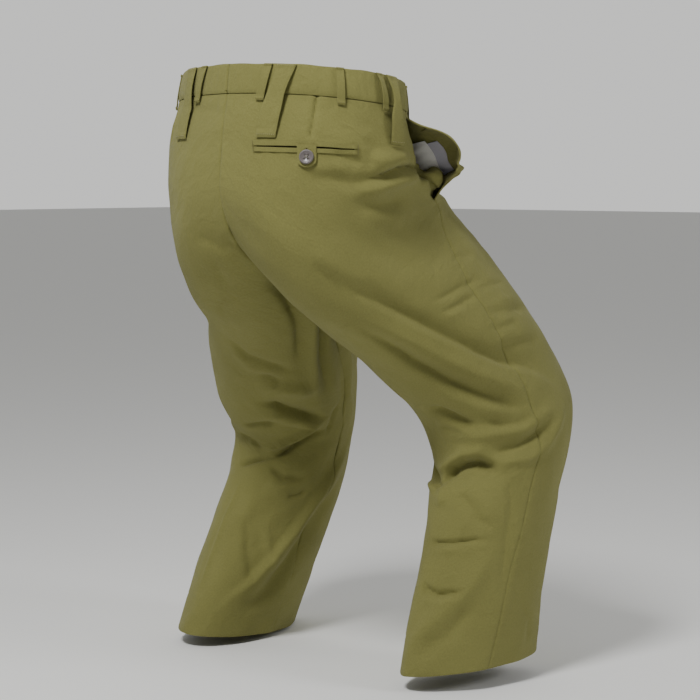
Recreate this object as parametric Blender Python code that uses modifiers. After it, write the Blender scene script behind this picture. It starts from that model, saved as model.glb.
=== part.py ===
import bmesh
import bpy
import numpy as np
from mathutils import Matrix, Vector

# Dress trousers kept in the hollow pose of the photograph: hips level, both
# knees bent and turned out. Front of the garment faces -Y, the wearer's right
# side is -X, up is +Z. The origin is the middle of the waistband's height on
# the garment's centre line. All lengths are in metres, angles in degrees.

cloth_thickness = 0.0020
band_thickness = 0.0030
band_half_height = 0.0195
band_proud = 0.0010
seam_gap = 0.0004
panel_columns = 13
waist_line = 0.0200
hem_line = 0.8680
hip_pocket_top = 0.0350
hip_pocket_bottom = 0.1800
loop_width = 0.0110
loop_length = 0.0480
wide_loop_width = 0.0260
wide_loop_length = 0.0920
loop_thickness = 0.0016
button_radius = 0.0090
button_height = 0.0034
front_button_radius = 0.0075
front_overlap = 0.006
front_underlap = 0.024

columns = ("s", "x", "y", "z", "pitch", "splay", "turn", "outer", "inner",
           "front", "back", "crease", "closure", "seam")

# Rings of the hips and the upper thigh, alike on both sides. s runs down the
# garment, x is the ring's distance from the centre line, closure says how far
# the ring has closed into a leg, seam is the angle of the side seam.
hip_rings = [
    (-0.020, 0.000, 0.000, 0.020, -8, 0, 0, 0.174, 0.175, 0.116, 0.1225, 1.0, 0.00, 16),
    (0.020, 0.000, 0.003, -0.020, -8, 0, 0, 0.181, 0.178, 0.119, 0.1245, 1.0, 0.00, 18),
    (0.080, 0.016, 0.002, -0.078, -4, 0, 0, 0.176, 0.400, 0.128, 0.136, 1.0, 0.05, 22),
    (0.140, 0.042, -0.005, -0.133, 4, 1, 0, 0.143, 0.300, 0.155, 0.147, 1.0, 0.20, 29),
    (0.190, 0.072, -0.018, -0.178, 15, 3, 0, 0.110, 0.140, 0.175, 0.144, 1.0, 0.56, 34),
    (0.250, 0.100, -0.038, -0.228, 27, 6, 0, 0.093, 0.1005, 0.168, 0.122, 1.0, 1.00, 28),
    (0.330, 0.126, -0.081, -0.280, 35, 10, 3, 0.091, 0.110, 0.150, 0.103, 1.0, 1.0, 19),
]
right_rings = hip_rings + [
    (0.410, 0.150, -0.133, -0.335, 38, 12, 5, 0.094, 0.103, 0.135, 0.093, 1.0, 1.0, 12),
    (0.510, 0.178, -0.190, -0.415, 33, 12, 8, 0.088, 0.094, 0.130, 0.090, 1.0, 1.0, 4),
    (0.570, 0.193, -0.212, -0.471, 24, 9, 10, 0.085, 0.087, 0.128, 0.107, 1.0, 1.0, 1),
    (0.650, 0.203, -0.186, -0.560, -4, 5, 11, 0.078, 0.078, 0.098, 0.096, 1.0, 1.0, -3),
    (0.730, 0.208, -0.163, -0.640, -10, 4, 12, 0.072, 0.072, 0.096, 0.099, 1.1, 1.0, -6),
    (0.870, 0.214, -0.126, -0.775, 2, 3, 12, 0.060, 0.060, 0.112, 0.119, 1.2, 1.0, -9),
]
left_rings = hip_rings + [
    (0.410, 0.156, -0.130, -0.335, 38, 12, 5, 0.104, 0.106, 0.138, 0.110, 1.0, 1.0, 12),
    (0.510, 0.184, -0.183, -0.415, 33, 12, 8, 0.102, 0.098, 0.130, 0.116, 1.0, 1.0, 4),
    (0.570, 0.190, -0.200, -0.471, 24, 9, 9, 0.090, 0.087, 0.120, 0.096, 1.0, 1.0, 1),
    (0.650, 0.194, -0.182, -0.560, -4, 5, 9, 0.076, 0.080, 0.117, 0.092, 1.0, 1.0, -3),
    (0.730, 0.204, -0.154, -0.640, -10, 4, 9, 0.074, 0.074, 0.117, 0.100, 1.0, 1.0, -6),
    (0.870, 0.227, -0.108, -0.790, -4, 3, 9, 0.066, 0.066, 0.127, 0.116, 1.1, 1.0, -9),
]
rings = {"right": right_rings, "left": left_rings}
mirror = {"right": -1.0, "left": 1.0}

# Largest folds. Each row is height (negative for a groove), half width, and
# the points the fold runs through as (s, angle); 0 is the outer side, 90 the
# front, 180 the inner leg and -90 the back.
right_folds = [
    (-0.005, 0.013, [(0.205, -56), (0.24, -47), (0.315, -32), (0.39, -21), (0.47, 3), (0.545, 34)]),
    (-0.005, 0.012, [(0.33, -68), (0.38, -58), (0.445, -43), (0.515, -12), (0.54, 8)]),
    (-0.004, 0.011, [(0.465, -85), (0.48, -63), (0.51, -45)]),
    (0.007, 0.011, [(0.58, -90), (0.557, -78), (0.547, -66), (0.549, -53), (0.565, -41), (0.59, -31)]),
    (-0.006, 0.010, [(0.59, -82), (0.578, -70), (0.574, -60), (0.578, -50), (0.594, -42)]),
    (0.004, 0.010, [(0.56, -40), (0.58, -22), (0.597, -3), (0.587, 15), (0.57, 30)]),
    (0.004, 0.010, [(0.545, -50), (0.545, -29), (0.55, -9), (0.553, 13), (0.56, 35)]),
    (-0.004, 0.012, [(0.55, 120), (0.57, 150), (0.59, 190), (0.60, 230)]),
    (0.004, 0.012, [(0.50, 130), (0.53, 160), (0.56, 200)]),
    (0.003, 0.014, [(0.62, 20), (0.68, -10), (0.75, -45), (0.80, -80)]),
    (-0.003, 0.012, [(0.70, -97), (0.703, -52)]),
    (-0.003, 0.012, [(0.765, -85), (0.763, -45)]),
]
left_folds = [
    (-0.005, 0.012, [(0.45, -102), (0.47, -118), (0.497, -133), (0.525, -148)]),
    (0.005, 0.011, [(0.604, -112), (0.563, -129), (0.543, -150)]),
    (-0.005, 0.011, [(0.625, -112), (0.646, -124), (0.646, -138), (0.635, -150)]),
    (0.006, 0.016, [(0.61, 162), (0.64, 180), (0.68, 192), (0.72, 201), (0.755, 210),
                    (0.80, 225), (0.82, 239), (0.84, 246)]),
    (-0.004, 0.016, [(0.65, 158), (0.69, 172), (0.73, 182), (0.78, 192), (0.83, 212)]),
    (-0.004, 0.012, [(0.215, -125), (0.25, -147)]),
    (-0.005, 0.014, [(0.27, -164), (0.39, -145), (0.53, -142)]),
    (-0.005, 0.013, [(0.33, 177), (0.49, 183), (0.59, 181)]),
    (0.004, 0.012, [(0.56, 40), (0.57, 10), (0.565, -25), (0.56, -60)]),
    (-0.004, 0.012, [(0.59, 30), (0.60, 0), (0.595, -35)]),
    (-0.004, 0.012, [(0.30, -40), (0.37, -20), (0.45, 5), (0.53, 30)]),
]
folds = {"right": right_folds, "left": left_folds}

# How far the front edge of each side pocket stands off the hip.
pocket_gape = {"right": 0.050, "left": 0.016}
gape_reach = 0.45
facing_heights = {"right": (0.057, 0.160), "left": (0.076, 0.156)}

# Belt loops: side, angle from the centre back, slant over the loop's length,
# wide or narrow, bow away from the cloth.
belt_loops = [
    ("right", 21, 0, "narrow", 0.0020),
    ("right", 31, -5, "wide", 0.0018),
    ("right", 57, 0, "narrow", 0.0022),
    ("right", 85, 1, "narrow", 0.0028),
    ("right", 95, -3, "wide", 0.0026),
    ("right", 127, 0, "narrow", 0.0020),
    ("left", 17, 0, "narrow", 0.0020),
    ("left", 27, -5, "wide", 0.0018),
    ("left", 57, 0, "narrow", 0.0020),
    ("left", 85, 0, "narrow", 0.0020),
    ("left", 95, -3, "wide", 0.0018),
    ("left", 127, 0, "narrow", 0.0020),
]

surfaces = {
    "cloth": ((0.200, 0.190, 0.060), 0.85),
    "pocketing": ((0.720, 0.710, 0.700), 0.90),
    "button": ((0.160, 0.140, 0.110), 0.35),
}


def start_empty():
    for item in list(bpy.data.objects):
        bpy.data.objects.remove(item, do_unlink=True)


def smooth(rows, values, s):
    """Cubic curve through unevenly spaced rows."""
    steps = np.diff(rows)
    slope = np.diff(values) / steps
    tangent = np.empty_like(values)
    tangent[0] = slope[0]
    tangent[-1] = slope[-1]
    tangent[1:-1] = (slope[:-1] * steps[1:] + slope[1:] * steps[:-1]) / (steps[1:] + steps[:-1])
    i = np.clip(np.searchsorted(rows, s) - 1, 0, len(rows) - 2)
    width = rows[i + 1] - rows[i]
    t = (s - rows[i]) / width
    return ((2 * t**3 - 3 * t**2 + 1) * values[i] + (t**3 - 2 * t**2 + t) * width * tangent[i]
            + (3 * t**2 - 2 * t**3) * values[i + 1] + (t**3 - t**2) * width * tangent[i + 1])


def ring_values(side, s):
    table = np.array(rings[side], float)
    return {name: smooth(table[:, 0], table[:, k], s) for k, name in enumerate(columns) if k > 0}


def ring_axes(ring):
    """Forward and outward unit vectors of a ring after pitch, splay and turn."""
    pitch, splay, turn = (np.radians(ring[name]) for name in ("pitch", "splay", "turn"))
    zero = np.zeros_like(pitch)
    down = np.stack([zero, -np.sin(pitch), -np.cos(pitch)], -1)
    forward = np.stack([zero, -np.cos(pitch), np.sin(pitch)], -1)
    outward = np.stack([zero + 1, zero, zero], -1)
    outward = np.cos(splay)[..., None] * outward - np.sin(splay)[..., None] * down
    c, n = np.cos(turn)[..., None], np.sin(turn)[..., None]
    return c * forward + n * outward, c * outward - n * forward


def body_point(side, s, angle):
    """Point of the smooth form, x measured outwards from the centre line."""
    ring = ring_values(side, s)
    forward, outward = ring_axes(ring)
    closure = np.clip(ring["closure"], 0.001, 1)
    cut = ring["x"] / (closure * np.cos(np.radians(ring["splay"])))
    inner = np.where(closure < 0.999, cut + 1e-6, ring["inner"])
    c, n = np.cos(angle), np.sin(angle)
    shaped = np.sign(c) * np.abs(c) ** ring["crease"]
    across = np.where(c > 0, ring["outer"], inner) * shaped
    along = np.where(n > 0, ring["front"], ring["back"]) * n
    centre = np.stack([ring["x"], ring["y"], ring["z"]], -1)
    return centre + across[..., None] * outward + along[..., None] * forward


def fold_height(side, s, angle):
    """Sum of the ridges and grooves at a place on the cloth."""
    total = np.zeros_like(s)
    scale = 0.105
    for height, width, points in folds[side]:
        path = np.array(points, float)
        path[:, 1] = np.radians(path[:, 1])
        lengths = np.hypot(np.diff(path[:, 0]), scale * np.diff(path[:, 1]))
        nearest = np.full_like(s, 9.0)
        place = np.zeros_like(s)
        begun = 0.0
        for (s0, a0), (s1, a1), length in zip(path[:-1], path[1:], lengths):
            along_s, along_a = (s1 - s0) / length, scale * (a1 - a0) / length
            off_s = s - s0
            off_a = scale * ((angle - a0 + np.pi) % (2 * np.pi) - np.pi)
            t = np.clip(off_s * along_s + off_a * along_a, 0, length)
            distance = np.hypot(off_s - t * along_s, off_a - t * along_a)
            closer = distance < nearest
            nearest = np.where(closer, distance, nearest)
            place = np.where(closer, begun + t, place)
            begun += length
        ends = np.clip(np.minimum(place, begun - place) / (0.22 * begun) + 0.15, 0, 1)
        total += height * ends * np.exp(-(nearest / width) ** 2)
    return total


def gape_height(side, s, angle):
    """Stand-off of the pocket's front edge, dying out towards the front crease."""
    ring = ring_values(side, s)
    seam = np.radians(ring["seam"])
    closure = np.clip(ring["closure"], 0, 1)
    reach = np.clip((angle - seam) / (np.arccos(-closure) - seam) / gape_reach, 0, 1)
    t = np.clip((s - hip_pocket_top) / (hip_pocket_bottom - hip_pocket_top), 0, 1)
    profile = np.sin(np.pi * t ** 1.4) ** 1.5
    return pocket_gape[side] * profile * (0.5 + 0.5 * np.cos(np.pi * reach)) ** 1.2


def shaped_point(side, s, angle, part):
    """Smooth form with its folds, and with the pocket's gape on a front."""
    point = body_point(side, s, angle)
    small = 1e-4
    along = body_point(side, s + small, angle) - point
    round_ = body_point(side, s, angle + small) - point
    normal = np.cross(round_, along)
    normal /= np.linalg.norm(normal, axis=-1, keepdims=True)
    height = fold_height(side, s, angle)
    if part == "front":
        height = height + gape_height(side, s, angle)
    return point + normal * height[..., None]


def cloth_point(side, s, angle, part="back", lift=0.0):
    """Point lifted off the cloth's outer face, in the garment's own axes."""
    s, angle = np.broadcast_arrays(np.asarray(s, float), np.asarray(angle, float))
    point = shaped_point(side, s, angle, part)
    small = 4e-4
    along = shaped_point(side, s + small, angle, part) - shaped_point(side, s - small, angle, part)
    round_ = (shaped_point(side, s, angle + 0.004, part)
              - shaped_point(side, s, angle - 0.004, part))
    normal = np.cross(round_, along)
    normal /= np.linalg.norm(normal, axis=-1, keepdims=True)
    point = point + normal * np.asarray(lift, float)[..., None]
    point[..., 0] = np.maximum(point[..., 0], seam_gap / 2)
    point[..., 0] *= mirror[side]
    return point


def panel_angles(side, part, s, columns_wide):
    """Ring angles from the side seam to the inner seam or centre, evenly spaced round the cloth."""
    ring = ring_values(side, s)
    seam = np.radians(ring["seam"])
    end = np.arccos(-np.clip(ring["closure"], 0, 1)) * (1 if part == "front" else -1)
    share = np.linspace(0, 1, 73)
    angle = seam[:, None] + (end - seam)[:, None] * share
    points = body_point(side, np.repeat(s[:, None], 73, 1), angle)
    steps = np.linalg.norm(np.diff(points, axis=1), axis=2)
    length = np.concatenate([np.zeros((len(s), 1)), np.cumsum(steps, 1)], 1)
    result = np.empty((len(s), columns_wide))
    t = np.clip((s - hip_pocket_top) / (hip_pocket_bottom - hip_pocket_top), 0, 1)
    mouth = np.sin(np.pi * t) ** 0.6 * (0.0016 if part == "front" else 0)
    for i in range(len(s)):
        total = length[i, -1]
        places = np.linspace(seam_gap / 2 + mouth[i], total - seam_gap / 2, columns_wide)
        result[i] = np.interp(places, length[i], angle[i])
    return result


def make_material(node, surface):
    colour, roughness = surfaces[surface]
    material = bpy.data.materials.new(node)
    material.use_nodes = True
    shader = material.node_tree.nodes["Principled BSDF"]
    shader.inputs["Base Color"].default_value = (*colour, 1)
    shader.inputs["Roughness"].default_value = roughness
    return material


def add_mesh(node, vertices, faces, surface, collection):
    mesh = bpy.data.meshes.new(node)
    mesh.from_pydata([tuple(v) for v in vertices], [], faces)
    mesh.materials.append(make_material(node, surface))
    item = bpy.data.objects.new(node, mesh)
    collection.objects.link(item)
    return item


def shell(node, outer, inner, surface, collection):
    """Closed wall between two grids of points, outward faces on the outer grid."""
    rows, wide = outer.shape[:2]
    count = rows * wide
    vertices = np.concatenate([outer.reshape(-1, 3), inner.reshape(-1, 3)])
    faces = []
    for i in range(rows - 1):
        for j in range(wide - 1):
            a = i * wide + j
            b, c, d = a + 1, a + wide + 1, a + wide
            faces.extend([(a, b, c), (a, c, d)])
            faces.extend([(a + count, c + count, b + count), (a + count, d + count, c + count)])
    for j in range(wide - 1):
        top, low = j, (rows - 1) * wide + j
        faces.append((top + 1, top, top + count, top + 1 + count))
        faces.append((low, low + 1, low + 1 + count, low + count))
    for i in range(rows - 1):
        first, last = i * wide, i * wide + wide - 1
        faces.append((first, first + wide, first + wide + count, first + count))
        faces.append((last + wide, last, last + count, last + wide + count))
    middle = outer[rows // 2, wide // 2] - inner[rows // 2, wide // 2]
    i, j = rows // 2 - 1, wide // 2 - 1
    turn = np.cross(outer[i, j + 1] - outer[i, j], outer[i + 1, j] - outer[i, j])
    if np.dot(turn, middle) < 0:
        faces = [face[::-1] for face in faces]
    return add_mesh(node, vertices, faces, surface, collection)


def panel_rows():
    """Heights of the panel's rings, closer at the fork and the knee."""
    fork = [0.130, 0.146, 0.160, 0.173, 0.185, 0.197, 0.208, 0.219, 0.229, 0.237, 0.243,
            0.247, 0.2494, 0.2515, 0.262, 0.276, 0.293]
    return np.concatenate([
        np.linspace(waist_line + seam_gap / 2, 0.13, 7)[:-1],
        fork,
        np.linspace(0.31, 0.44, 8)[:-1],
        np.linspace(0.44, 0.64, 14)[:-1],
        np.linspace(0.64, hem_line, 13),
    ])


def panel(side, part, collection):
    """One leg panel from the waist seam to the hem."""
    s = panel_rows()
    angle = panel_angles(side, part, s, panel_columns)
    sheet("%s_%s" % (part, side), side, part, s, angle, 0.0, cloth_thickness, "cloth", collection)


def sheet(node, side, part, s, angle, lift, thickness, surface, collection):
    """Wall on the cloth's points, its outer face moved out by the lift."""
    grid = np.repeat(s[:, None], angle.shape[1], 1)
    outer = cloth_point(side, grid, angle, part, np.full(grid.shape, lift))
    inner = cloth_point(side, grid, angle, part, np.full(grid.shape, lift - thickness))
    shell(node, outer, inner, surface, collection)


def panel_piece(node, side, shape, heights, first, last, lift, thickness, surface, collection,
                trim=0.0):
    """Sheet on part of a front's own rows and columns; shape says with or without the gape."""
    rows = panel_rows()
    inside = rows[(rows > heights[0] + 0.004) & (rows < heights[1] - 0.004)]
    s = np.concatenate([[heights[0]], inside, [heights[1]]])
    angle = panel_angles(side, "front", s, panel_columns)[:, first:last + 1]
    angle[:, 0] += trim
    angle[:, -1] -= trim
    sheet(node, side, shape, s, angle, lift, thickness, surface, collection)


def waist_point(s, angle):
    """Point of the level waist ring; angles past 90 cross the centre front."""
    ring = ring_values("right", s)
    pitch = np.radians(ring["pitch"])
    along = np.where(np.sin(angle) > 0, ring["front"], ring["back"]) * np.sin(angle)
    return np.stack([ring["outer"] * np.cos(angle), ring["y"] - along * np.cos(pitch),
                     ring["z"] + along * np.sin(pitch)], -1)


def band_point(side, s, angle, lift):
    """Waist ring point lifted outwards, in the garment's own axes."""
    s, angle = np.broadcast_arrays(np.asarray(s, float), np.asarray(angle, float))
    small = 1e-4
    along = waist_point(s + small, angle) - waist_point(s - small, angle)
    round_ = waist_point(s, angle + small) - waist_point(s, angle - small)
    normal = np.cross(round_, along)
    normal /= np.linalg.norm(normal, axis=-1, keepdims=True)
    point = waist_point(s, angle) + normal * np.asarray(lift, float)[..., None]
    return point * [mirror[side], 1, 1]


def waistband(side, collection):
    """Half of the waistband; the right end passes under the left at the front."""
    quarter = np.radians(90)
    radius = 0.175
    first = -quarter + seam_gap / 2 / radius
    if side == "right":
        last = quarter + front_underlap / radius
    else:
        last = quarter + front_overlap / radius
    angle = np.linspace(first, last, 27)
    s = np.array([-band_half_height, 0, band_half_height])
    lift = np.full((3, 27), band_proud)
    if side == "right":
        under = np.clip((angle - (quarter - 0.22)) / 0.16, 0, 1)
        lift = lift - under * under * (3 - 2 * under) * (band_thickness + 2 * seam_gap)
    grid_s = np.repeat(s[:, None], 27, 1)
    grid_a = np.repeat(angle[None], 3, 0)
    outer = band_point(side, grid_s, grid_a, lift)
    inner = band_point(side, grid_s, grid_a, lift - band_thickness)
    shell("waistband_" + side, outer, inner, "cloth", collection)


def belt_loop(node, side, from_back, slant, kind, bow, collection):
    """Strip standing from the waistband's top edge to the panel below it."""
    width = loop_width if kind == "narrow" else wide_loop_width
    length = loop_length if kind == "narrow" else wide_loop_length
    top = -band_half_height + 0.0008
    s = np.linspace(top, top + length, 5 if kind == "narrow" else 8)
    middle = np.radians(-90 + from_back) + np.radians(slant) * (s - top) / length
    share = (s - top) / length
    arch = np.sin(np.pi * share) ** 0.8 * bow
    radius = 0.155
    wide = 3 if kind == "narrow" else 4
    across = np.linspace(-0.5, 0.5, wide) * width / radius
    grid_s = np.repeat(s[:, None], wide, 1)
    grid_a = middle[:, None] + across
    ramp = np.clip((s - waist_line + 0.004) / 0.016, 0, 1)
    back_lift = band_proud + 0.0004 + arch - ramp * (band_proud - 0.0004)
    back = loop_point(side, grid_s, grid_a, back_lift[:, None] + 0 * grid_s)
    front = loop_point(side, grid_s, grid_a, back_lift[:, None] + loop_thickness + 0 * grid_s)
    shell(node, front, back, "cloth", collection)


def loop_point(side, s, angle, lift):
    """Loops cross from the waist ring to the panel, so both are blended here."""
    upper = band_point(side, np.minimum(s, waist_line), angle, lift)
    part = np.where(angle > np.radians(20), 1, 0)
    lower_back = cloth_point(side, np.maximum(s, waist_line), angle, "back", lift)
    lower_front = cloth_point(side, np.maximum(s, waist_line), angle, "front", lift)
    lower = np.where(part[..., None] == 1, lower_front, lower_back)
    return np.where((s > waist_line)[..., None], lower, upper)


def patch(node, side, part, s_range, angle_range, rows, wide, lift, thickness, surface, collection):
    """Sheet following the cloth between two heights and two angles, at a given lift."""
    s = np.linspace(*s_range, rows)
    share = np.linspace(0, 1, wide)
    grid_s = np.repeat(s[:, None], wide, 1)
    low, high = np.radians(angle_range)
    grid_a = np.repeat((low + (high - low) * share)[None], rows, 0)
    top = cloth_point(side, grid_s, grid_a, part, np.full(grid_s.shape, lift))
    under = cloth_point(side, grid_s, grid_a, part, np.full(grid_s.shape, lift - thickness))
    shell(node, top, under, surface, collection)


def button(node, centre, normal, radius, height, collection, cutters):
    """Four-hole button with a raised rim, turned from its profile."""
    profile = [(0.0, 0.0), (0.70, 0.0), (0.96, 0.30), (1.0, 0.62), (0.93, 1.0), (0.80, 1.0),
               (0.70, 0.72), (0.0, 0.72)]
    mesh = bpy.data.meshes.new(node)
    points = [(radius * share, 0, height * level) for share, level in reversed(profile)]
    mesh.from_pydata(points, [(k, k + 1) for k in range(len(points) - 1)], [])
    mesh.materials.append(make_material(node, "button"))
    item = bpy.data.objects.new(node, mesh)
    collection.objects.link(item)
    turned = item.modifiers.new("turned", "SCREW")
    turned.steps = 24
    turned.render_steps = 24
    turned.use_merge_vertices = True
    turned.merge_threshold = 0.00005
    place = Matrix.Translation(Vector(centre)) @ Vector(normal).to_track_quat("Z", "Y").to_matrix().to_4x4()
    for k in range(4):
        corner = np.radians(45 + 90 * k)
        hole = bmesh.new()
        bmesh.ops.create_cone(hole, cap_ends=True, segments=10, radius1=radius * 0.11,
                              radius2=radius * 0.11, depth=height * 4)
        hole_mesh = bpy.data.meshes.new("hole")
        hole.to_mesh(hole_mesh)
        hole.free()
        cutter = bpy.data.objects.new(node + "_hole", hole_mesh)
        shift = Vector((np.cos(corner), np.sin(corner), 0)) * radius * 0.30
        cutter.matrix_world = place @ Matrix.Translation(shift)
        cutter.hide_render = True
        cutter.display_type = "WIRE"
        cutters.objects.link(cutter)
        cut = item.modifiers.new("hole", "BOOLEAN")
        cut.operation = "DIFFERENCE"
        cut.solver = "EXACT"
        cut.object = cutter
    item.matrix_world = place
    return item


def surface_frame(side, s, angle, part, lift):
    """Place and outward direction for a small piece on the cloth."""
    low = cloth_point(side, np.array([s]), np.array([angle]), part, np.array([lift]))[0]
    high = cloth_point(side, np.array([s]), np.array([angle]), part, np.array([lift + 0.01]))[0]
    return low, high - low


def build():
    start_empty()
    collection = bpy.data.collections.new("dress_trousers")
    cutters = bpy.data.collections.new("cutters")
    bpy.context.scene.collection.children.link(collection)
    bpy.context.scene.collection.children.link(cutters)
    for side in ("right", "left"):
        for part in ("front", "back"):
            panel(side, part, collection)
        waistband(side, collection)
        panel_piece("side_panel_" + side, side, "back", (0.023, 0.176), 0, 7,
                    -cloth_thickness - 0.0008, 0.0012, "cloth", collection)
        top, low = facing_heights[side]
        panel_piece("pocket_facing_" + side, side, "front", (top, low), 0, 2,
                    -cloth_thickness - 0.0004, 0.0010, "cloth", collection, 0.004)
    panel_piece("pocket_lining_right", "right", "front", (0.078, 0.150), 2, 3,
                -cloth_thickness - 0.0010, 0.0008, "pocketing", collection, 0.004)
    for number, (side, from_back, slant, kind, bow) in enumerate(belt_loops):
        node = "belt_loop_" + side + "_" + str(number % 6 + 1)
        belt_loop(node, side, from_back, slant, kind, bow, collection)
    patch("back_pocket_welt_upper", "right", "back", (0.0770, 0.0825), (-75, -25), 2, 12,
          0.0022, 0.0016, "cloth", collection)
    patch("back_pocket_welt_lower", "right", "back", (0.0835, 0.0890), (-75, -25), 2, 12,
          0.0022, 0.0016, "cloth", collection)
    patch("back_pocket_tab", "right", "back", (0.0800, 0.1060), (-54.5, -47.5), 5, 3,
          0.0038, 0.0012, "cloth", collection)
    centre, normal = surface_frame("right", 0.0955, np.radians(-51), "back", 0.0042)
    button("back_pocket_button", centre, normal, button_radius, button_height, collection, cutters)
    panel_piece("fly_lap", "left", "front", (0.0235, 0.150), panel_columns - 4, panel_columns - 1,
                0.0024, 0.0015, "cloth", collection, 0.003)
    middle = np.array([np.pi / 2 - 0.07])
    low = band_point("left", np.array([0.0]), middle, np.array([band_proud + seam_gap]))[0]
    high = band_point("left", np.array([0.0]), middle, np.array([0.02]))[0]
    button("waist_button", low, high - low, front_button_radius, button_height, collection, cutters)


build()
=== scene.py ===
import bpy
import numpy as np
from mathutils import Matrix, Vector


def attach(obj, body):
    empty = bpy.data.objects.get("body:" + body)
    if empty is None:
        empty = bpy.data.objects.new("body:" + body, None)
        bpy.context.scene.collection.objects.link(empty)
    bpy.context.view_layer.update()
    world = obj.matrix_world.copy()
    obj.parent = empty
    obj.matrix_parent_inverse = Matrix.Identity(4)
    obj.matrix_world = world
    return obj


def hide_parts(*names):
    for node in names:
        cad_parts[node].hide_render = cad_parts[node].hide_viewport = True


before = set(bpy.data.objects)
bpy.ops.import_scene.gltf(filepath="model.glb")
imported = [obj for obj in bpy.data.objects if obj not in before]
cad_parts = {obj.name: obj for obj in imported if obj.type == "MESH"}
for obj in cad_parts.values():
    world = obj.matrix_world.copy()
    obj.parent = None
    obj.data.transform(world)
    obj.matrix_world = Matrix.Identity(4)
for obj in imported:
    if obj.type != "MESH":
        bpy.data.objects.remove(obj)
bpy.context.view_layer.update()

# Front of the garment faces -Y, the wearer's right is -X. Metres and degrees.
ringColumns = ("s", "x", "y", "z", "pitch", "splay", "turn", "outer", "inner",
               "front", "back", "crease", "closure", "seam")
hipRings = [
    (-0.020, 0.000, 0.000, 0.020, -8, 0, 0, 0.174, 0.175, 0.116, 0.1225, 1.0, 0.00, 16),
    (0.020, 0.000, 0.003, -0.020, -8, 0, 0, 0.181, 0.178, 0.119, 0.1245, 1.0, 0.00, 18),
    (0.080, 0.016, 0.002, -0.078, -4, 0, 0, 0.176, 0.400, 0.128, 0.136, 1.0, 0.05, 22),
    (0.140, 0.042, -0.005, -0.133, 4, 1, 0, 0.143, 0.300, 0.155, 0.147, 1.0, 0.20, 29),
    (0.190, 0.072, -0.018, -0.178, 15, 3, 0, 0.110, 0.140, 0.175, 0.144, 1.0, 0.56, 34),
    (0.250, 0.100, -0.038, -0.228, 27, 6, 0, 0.093, 0.1005, 0.168, 0.122, 1.0, 1.00, 28),
    (0.330, 0.126, -0.081, -0.280, 35, 10, 3, 0.091, 0.110, 0.150, 0.103, 1.0, 1.0, 19),
]
rings = {
    "right": hipRings + [
        (0.410, 0.150, -0.133, -0.335, 38, 12, 5, 0.094, 0.103, 0.135, 0.093, 1.0, 1.0, 12),
        (0.510, 0.178, -0.190, -0.415, 33, 12, 8, 0.088, 0.094, 0.130, 0.090, 1.0, 1.0, 4),
        (0.570, 0.193, -0.212, -0.471, 24, 9, 10, 0.085, 0.087, 0.128, 0.107, 1.0, 1.0, 1),
        (0.650, 0.203, -0.186, -0.560, -4, 5, 11, 0.078, 0.078, 0.098, 0.096, 1.0, 1.0, -3),
        (0.730, 0.208, -0.163, -0.640, -10, 4, 12, 0.072, 0.072, 0.096, 0.099, 1.1, 1.0, -6),
        (0.870, 0.214, -0.126, -0.775, 2, 3, 12, 0.060, 0.060, 0.112, 0.119, 1.2, 1.0, -9),
    ],
    "left": hipRings + [
        (0.410, 0.156, -0.130, -0.335, 38, 12, 5, 0.104, 0.106, 0.138, 0.110, 1.0, 1.0, 12),
        (0.510, 0.184, -0.183, -0.415, 33, 12, 8, 0.102, 0.098, 0.130, 0.116, 1.0, 1.0, 4),
        (0.570, 0.190, -0.200, -0.471, 24, 9, 9, 0.090, 0.087, 0.120, 0.096, 1.0, 1.0, 1),
        (0.650, 0.194, -0.182, -0.560, -4, 5, 9, 0.076, 0.080, 0.117, 0.092, 1.0, 1.0, -3),
        (0.730, 0.204, -0.154, -0.640, -10, 4, 9, 0.074, 0.074, 0.117, 0.100, 1.0, 1.0, -6),
        (0.870, 0.227, -0.108, -0.790, -4, 3, 9, 0.066, 0.066, 0.127, 0.116, 1.1, 1.0, -9),
    ],
}
mirror = {"right": -1.0, "left": 1.0}

garment = {"wall": 0.0010, "bandWall": 0.0024, "bandHalf": 0.0195, "bandProud": 0.0008,
           "waistLine": 0.0200, "hemLine": 0.8680, "seamGap": 0.0002, "seamDepth": 0.0010,
           "mouthTop": 0.028, "mouthLow": 0.180, "mouthReach": 0.45,
           "mouthGape": {"right": 0.050, "left": 0.016}, "hipRadius": 0.14}

# How far the pocket's front edge stands off, from the top of the mouth to its foot.
mouthShape = {
    "right": [(0.0, 0.0), (0.08, 0.28), (0.18, 0.78), (0.32, 1.16), (0.48, 1.17), (0.62, 0.94), (0.76, 0.60),
              (0.86, 0.36), (0.94, 0.16), (1.0, 0.0)],
    "left": [(0.0, 0.0), (0.2, 0.25), (0.5, 0.9), (0.7, 0.95), (0.9, 0.3), (1.0, 0.0)],
}

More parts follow.
